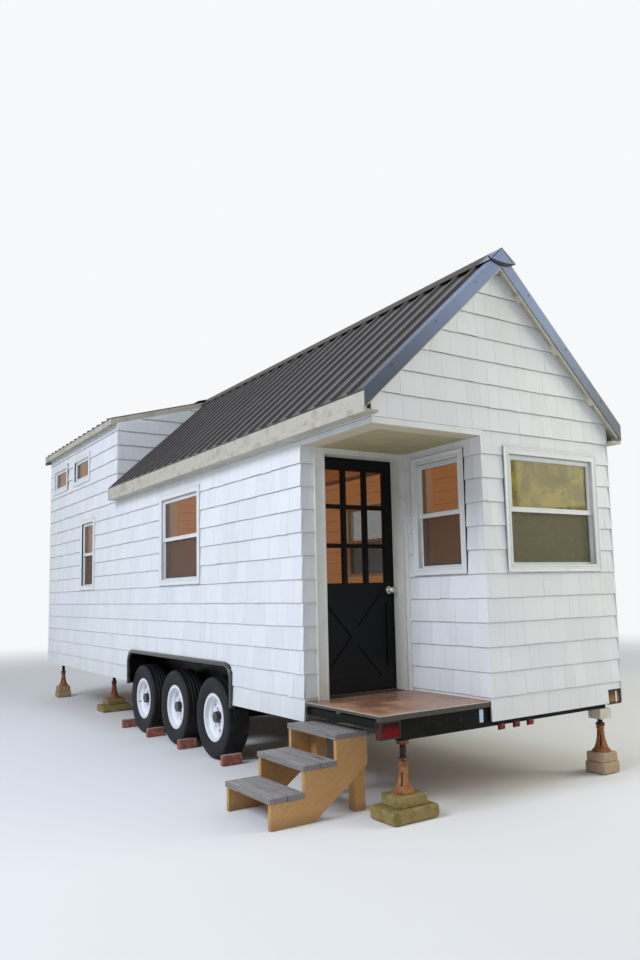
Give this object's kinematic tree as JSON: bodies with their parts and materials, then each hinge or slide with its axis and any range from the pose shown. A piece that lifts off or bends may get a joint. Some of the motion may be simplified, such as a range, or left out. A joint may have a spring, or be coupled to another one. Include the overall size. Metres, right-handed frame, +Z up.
{
  "type": "tiny house on wheels",
  "caption": "Small shingled house with a corner porch, steep gable roof and loft dormers, built on a multi-axle road trailer and parked on screw jacks.",
  "frame": {"origin": "middle of the bounding box on the ground, under the house", "axes": "+Z up, +Y towards the tongue end, -Y towards the porch gable, -X towards the steps"},
  "size_m": [3.393, 10.722, 4.374],
  "materials": {
    "siding": "white painted shingles",
    "roof_metal": "satin dark bronze ribbed sheet",
    "trim_metal": "satin light blue-grey sheet",
    "grey_paint": "matt grey paint",
    "window_white": "white vinyl",
    "glass": "clear pane",
    "floor_wood": "boards",
    "deck_wood": "film-faced brown plywood",
    "ceiling_wood": "cream paint",
    "door_black": "gloss black paint",
    "hardware": "satin",
    "frame_black": "black paint",
    "lens_red": "red lens",
    "jack_iron": "rusty iron",
    "concrete": "weathered mossy concrete",
    "new_wood": "new pine",
    "old_wood": "weathered grey boards",
    "brick": "fired clay",
    "tyre": "black rubber",
    "wheel_white": "white painted steel"
  },
  "bodies": {
    "house": {"arch_trims": "frame_black", "axles": "frame_black", "bay_front_wall": "siding", "bay_window": "window_white", "bricks": "brick", "chassis_rails": "frame_black", "coupler": "frame_black", "cross_members": "frame_black", "door_frame": "ceiling_wood", "door_wall_head": "siding", "door_wall_left": "siding", "door_wall_right": "siding", "dormer_windows": "window_white", "eave_trim": "grey_paint", "floor": "floor_wood", "front_gable": "siding", "jack_bases": "jack_iron", "jack_screws": "jack_iron", "leaf_springs": "frame_black", "left_dormer_roof": "roof_metal", "left_dormer_walls": "siding", "left_roof": "roof_metal", "left_wall": "siding", "left_windows": "window_white", "porch_ceiling": "ceiling_wood", "porch_deck": "deck_wood", "porch_header": "siding", "porch_side_wall": "siding", "porch_window": "window_white", "rake_trim": "trim_metal", "rear_wall": "siding", "rear_window": "window_white", "ridge_cap": "trim_metal", "right_dormer_roof": "roof_metal", "right_dormer_walls": "siding", "right_roof": "roof_metal", "right_wall": "siding", "right_windows": "window_white", "step_frame": "new_wood", "step_treads": "old_wood", "support_blocks": "concrete", "tail_lights": "lens_red", "tongue": "frame_black", "wheel_wells": "frame_black", "window_glass": "glass"},
    "door": {"door_slab": "door_black", "door_glass": "glass", "door_hardware": "hardware"},
    "left_wheel_1": {"wheel_left_1": "wheel_white", "tyre_left_1": "tyre"},
    "left_wheel_2": {"wheel_left_2": "wheel_white", "tyre_left_2": "tyre"},
    "left_wheel_3": {"wheel_left_3": "wheel_white", "tyre_left_3": "tyre"},
    "right_wheel_1": {"wheel_right_1": "wheel_white", "tyre_right_1": "tyre"},
    "right_wheel_2": {"wheel_right_2": "wheel_white", "tyre_right_2": "tyre"},
    "right_wheel_3": {"wheel_right_3": "wheel_white", "tyre_right_3": "tyre"}
  },
  "joints": [
    {"name": "door_hinge", "type": "hinge", "parent": "house", "child": "door", "pos_m": [-0.818, -4.0567, 1.7], "axis": [0, 0, 1], "range_deg": [0, 85]},
    {"name": "left_wheel_1_spin", "type": "hinge", "parent": "house", "child": "left_wheel_1", "pos_m": [-0.886, -2.382, 0.395], "axis": [1, 0, 0], "continuous": true},
    {"name": "left_wheel_2_spin", "type": "hinge", "parent": "house", "child": "left_wheel_2", "pos_m": [-0.886, -1.382, 0.395], "axis": [1, 0, 0], "continuous": true},
    {"name": "left_wheel_3_spin", "type": "hinge", "parent": "house", "child": "left_wheel_3", "pos_m": [-0.886, -0.382, 0.395], "axis": [1, 0, 0], "continuous": true},
    {"name": "right_wheel_1_spin", "type": "hinge", "parent": "house", "child": "right_wheel_1", "pos_m": [1.427, -2.382, 0.395], "axis": [1, 0, 0], "continuous": true},
    {"name": "right_wheel_2_spin", "type": "hinge", "parent": "house", "child": "right_wheel_2", "pos_m": [1.427, -1.382, 0.395], "axis": [1, 0, 0], "continuous": true},
    {"name": "right_wheel_3_spin", "type": "hinge", "parent": "house", "child": "right_wheel_3", "pos_m": [1.427, -0.382, 0.395], "axis": [1, 0, 0], "continuous": true}
  ]
}
